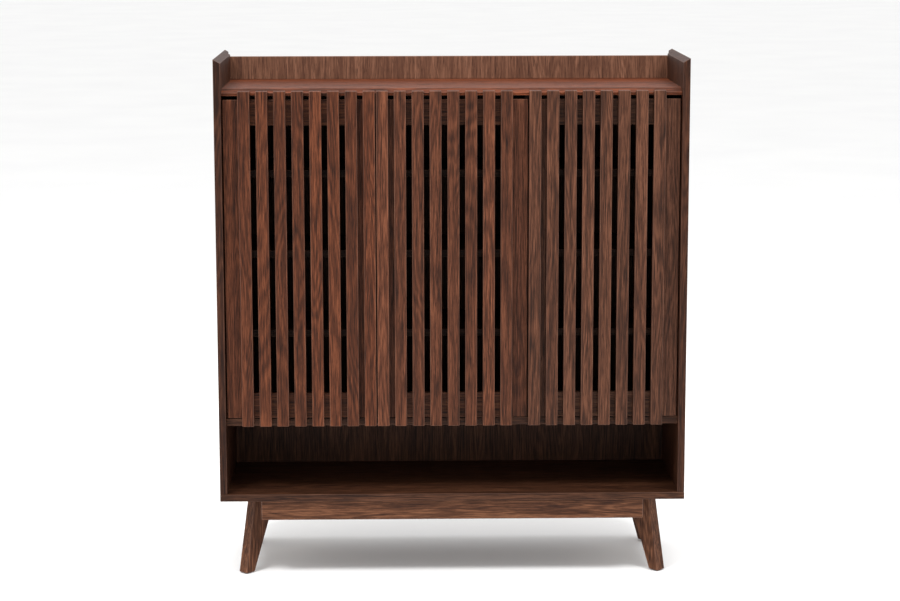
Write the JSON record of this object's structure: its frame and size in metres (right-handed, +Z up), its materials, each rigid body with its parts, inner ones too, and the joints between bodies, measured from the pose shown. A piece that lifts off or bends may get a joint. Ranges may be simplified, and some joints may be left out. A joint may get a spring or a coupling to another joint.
{
  "type": "shoe cabinet",
  "caption": "Walnut-toned shoe cabinet with slatted hinged doors over adjustable shelves, an open lower compartment, a low gallery on top and splayed tapered legs.",
  "frame": {"origin": "on the floor, under the middle of the cabinet", "axes": "+Z up, the doors face -Y, +X to the right of someone who faces the doors"},
  "size_m": [1, 0.35, 1.12],
  "materials": {
    "walnut_carcass": "walnut-grain laminate, satin",
    "walnut_top": "walnut-grain laminate, satin",
    "walnut_back": "walnut-grain laminate, satin",
    "walnut_frames": "walnut-grain laminate, satin",
    "walnut_slats": "walnut-grain laminate, satin, tone varies slat to slat",
    "walnut_base": "walnut stain, satin",
    "pale_wood": "bare pale wood",
    "steel": "nickel plated",
    "glide_plastic": "moulded"
  },
  "bodies": {
    "carcass": {"side_panel_left": "walnut_carcass", "side_panel_right": "walnut_carcass", "top_panel": "walnut_top", "mid_panel": "walnut_carcass", "bottom_panel": "walnut_carcass", "partition_left": "walnut_carcass", "partition_right": "walnut_carcass", "back_board_left": "walnut_back", "back_board_middle": "walnut_back", "back_board_right": "walnut_back", "gallery_rail": "walnut_top", "shelf_left_low": "walnut_carcass", "shelf_left_mid": "walnut_carcass", "shelf_left_high": "walnut_carcass", "shelf_middle_low": "walnut_carcass", "shelf_middle_mid": "walnut_carcass", "shelf_middle_high": "walnut_carcass", "shelf_right_low": "walnut_carcass", "shelf_right_mid": "walnut_carcass", "shelf_right_high": "walnut_carcass", "shelf_pins": "steel", "cam_fittings": "steel", "dowels": "pale_wood", "panel_screws": "steel", "back_board_screws": "steel", "leg_front_left": "walnut_base", "leg_front_right": "walnut_base", "leg_rear_left": "walnut_base", "leg_rear_right": "walnut_base", "corner_blocks": "pale_wood", "base_screws": "steel", "foot_glides": "glide_plastic", "apron_front": "walnut_base", "apron_rear": "walnut_base", "hinge_arms": "steel", "hinge_plate_screws": "steel"},
    "door_left": {"door_left_hinge_stile": "walnut_frames", "door_left_free_stile": "walnut_frames", "door_left_top_rail": "walnut_frames", "door_left_bottom_rail": "walnut_frames", "door_left_slats": "walnut_slats", "door_left_hinge_cups": "steel", "door_left_screws": "steel"},
    "door_middle": {"door_middle_hinge_stile": "walnut_frames", "door_middle_free_stile": "walnut_frames", "door_middle_top_rail": "walnut_frames", "door_middle_bottom_rail": "walnut_frames", "door_middle_slats": "walnut_slats", "door_middle_hinge_cups": "steel", "door_middle_screws": "steel"},
    "door_right": {"door_right_hinge_stile": "walnut_frames", "door_right_free_stile": "walnut_frames", "door_right_top_rail": "walnut_frames", "door_right_bottom_rail": "walnut_frames", "door_right_slats": "walnut_slats", "door_right_hinge_cups": "steel", "door_right_screws": "steel"},
    "hinge_link_left": {"hinge_links_left": "steel"},
    "hinge_link_middle": {"hinge_links_middle": "steel"},
    "hinge_link_right": {"hinge_links_right": "steel"}
  },
  "joints": [
    {"name": "door_left_swing", "type": "hinge", "parent": "carcass", "child": "door_left", "pos_m": [-0.4825, -0.153, 0.694], "axis": [0, 0, -1], "range_deg": [0, 95]},
    {"name": "door_middle_swing", "type": "hinge", "parent": "carcass", "child": "door_middle", "pos_m": [0.16, -0.153, 0.694], "axis": [0, 0, 1], "range_deg": [0, 95]},
    {"name": "door_right_swing", "type": "hinge", "parent": "carcass", "child": "door_right", "pos_m": [0.4825, -0.153, 0.694], "axis": [0, 0, 1], "range_deg": [0, 95]},
    {"name": "hinge_link_left_turn", "type": "hinge", "parent": "carcass", "child": "hinge_link_left", "pos_m": [-0.47386, -0.1355, 0.694], "axis": [0, 0, -1], "range_deg": [0, 73.2]},
    {"name": "hinge_link_middle_turn", "type": "hinge", "parent": "carcass", "child": "hinge_link_middle", "pos_m": [0.15136, -0.1355, 0.694], "axis": [0, 0, 1], "range_deg": [0, 73.2]},
    {"name": "hinge_link_right_turn", "type": "hinge", "parent": "carcass", "child": "hinge_link_right", "pos_m": [0.47386, -0.1355, 0.694], "axis": [0, 0, 1], "range_deg": [0, 73.2]}
  ],
  "couplings": [
    {"joint": "hinge_link_left_turn", "follows": "door_left_swing", "ratio": 0.77},
    {"joint": "hinge_link_middle_turn", "follows": "door_middle_swing", "ratio": 0.77},
    {"joint": "hinge_link_right_turn", "follows": "door_right_swing", "ratio": 0.77}
  ]
}
